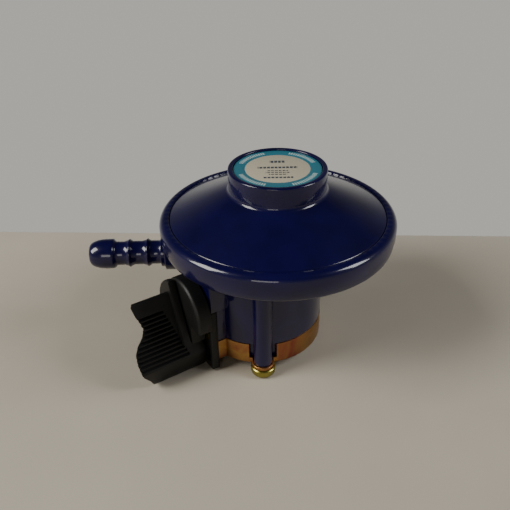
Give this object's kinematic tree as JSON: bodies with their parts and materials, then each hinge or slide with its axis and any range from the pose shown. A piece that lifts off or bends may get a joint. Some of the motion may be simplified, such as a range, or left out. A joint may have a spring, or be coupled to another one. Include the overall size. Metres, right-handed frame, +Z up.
{
  "type": "clip-on gas pressure regulator",
  "caption": "Domed low-pressure gas regulator that clips onto a cylinder valve, with a lever switch on the front, a barbed hose nozzle at the side and a diaphragm valve inside.",
  "frame": {"origin": "on the coupling's axis, level with the foot of the retaining ring", "axes": "+Z up along the coupling's axis towards the dome, -Y towards the switch lever, +X to the right as seen from the lever side"},
  "size_m": [0.081, 0.0991, 0.0664],
  "materials": {
    "blue_enamel": "gloss",
    "black_plastic": "satin",
    "printed_label": "satin",
    "yellow_zinc": "satin",
    "zinc_screw": "satin",
    "brass": "satin",
    "steel": "satin",
    "spring_steel": "satin",
    "aluminium": "satin",
    "rubber": "matte"
  },
  "bodies": {
    "housing": {"body_casting": "blue_enamel", "top_cover": "blue_enamel", "label_disc": "printed_label", "tamper_cap": "black_plastic", "adjuster_plug": "brass", "hose_nozzle": "blue_enamel", "retaining_ring": "yellow_zinc", "ring_screws": "zinc_screw", "ball_cage": "steel", "inlet_seal": "rubber", "inner_bush": "brass", "outer_bush": "brass", "shaft_seal": "rubber", "knob_plate": "black_plastic", "plate_screws": "zinc_screw", "lever_bracket": "steel", "lever_pin": "steel", "valve_jet": "brass"},
    "switch_knob": {"knob_handle": "black_plastic", "knob_screw": "zinc_screw", "cam_shaft": "steel"},
    "plunger": {"inlet_plunger": "brass", "inlet_filter": "brass"},
    "sleeve": {"lock_sleeve": "steel", "sleeve_spring": "spring_steel"},
    "ball_1": {"locking_ball_1": "steel"},
    "ball_2": {"locking_ball_2": "steel"},
    "ball_3": {"locking_ball_3": "steel"},
    "diaphragm_stack": {"diaphragm_stem": "brass", "lower_washer": "steel", "diaphragm": "rubber", "diaphragm_plate": "aluminium", "stem_nut": "zinc_screw", "main_spring": "spring_steel"},
    "lever": {"valve_lever": "steel", "valve_pad": "rubber"}
  },
  "joints": [
    {"name": "switch_turn", "type": "hinge", "parent": "housing", "child": "switch_knob", "pos_m": [0, -0.03, 0.0202], "axis": [0, -1, 0], "range_deg": [0, 90]},
    {"name": "plunger_slide", "type": "slide", "parent": "housing", "child": "plunger", "axis": [0, 0, -1], "range_m": [0, 0.003]},
    {"name": "sleeve_slide", "type": "slide", "parent": "housing", "child": "sleeve", "axis": [0, 0, -1], "range_m": [0, 0.003], "stiffness_N_per_m": 400, "springref_m": -0.003, "deforming": ["sleeve_spring"]},
    {"name": "ball_1_slide", "type": "slide", "parent": "housing", "child": "ball_1", "axis": [-0.866, -0.5, 0], "range_m": [0, 0.001]},
    {"name": "ball_2_slide", "type": "slide", "parent": "housing", "child": "ball_2", "axis": [0.866, -0.5, 0], "range_m": [0, 0.001]},
    {"name": "ball_3_slide", "type": "slide", "parent": "housing", "child": "ball_3", "axis": [0, 1, 0], "range_m": [0, 0.001]},
    {"name": "diaphragm_slide", "type": "slide", "parent": "housing", "child": "diaphragm_stack", "axis": [0, 0, 1], "range_m": [0, 0.0012], "stiffness_N_per_m": 1500, "springref_m": -0.004, "deforming": ["main_spring", "diaphragm"]},
    {"name": "lever_turn", "type": "hinge", "parent": "housing", "child": "lever", "pos_m": [0, -0.0014, 0.0402], "axis": [1, 0, 0], "range_deg": [0, 8]}
  ],
  "couplings": [
    {"joint": "switch_turn", "follows": "sleeve_slide", "rad_per_m": 523.6},
    {"joint": "plunger_slide", "follows": "sleeve_slide", "ratio": 1},
    {"joint": "ball_1_slide", "follows": "sleeve_slide", "ratio": 0.33333},
    {"joint": "ball_2_slide", "follows": "sleeve_slide", "ratio": 0.33333},
    {"joint": "ball_3_slide", "follows": "sleeve_slide", "ratio": 0.33333},
    {"joint": "lever_turn", "follows": "diaphragm_slide", "rad_per_m": 116.28}
  ]
}
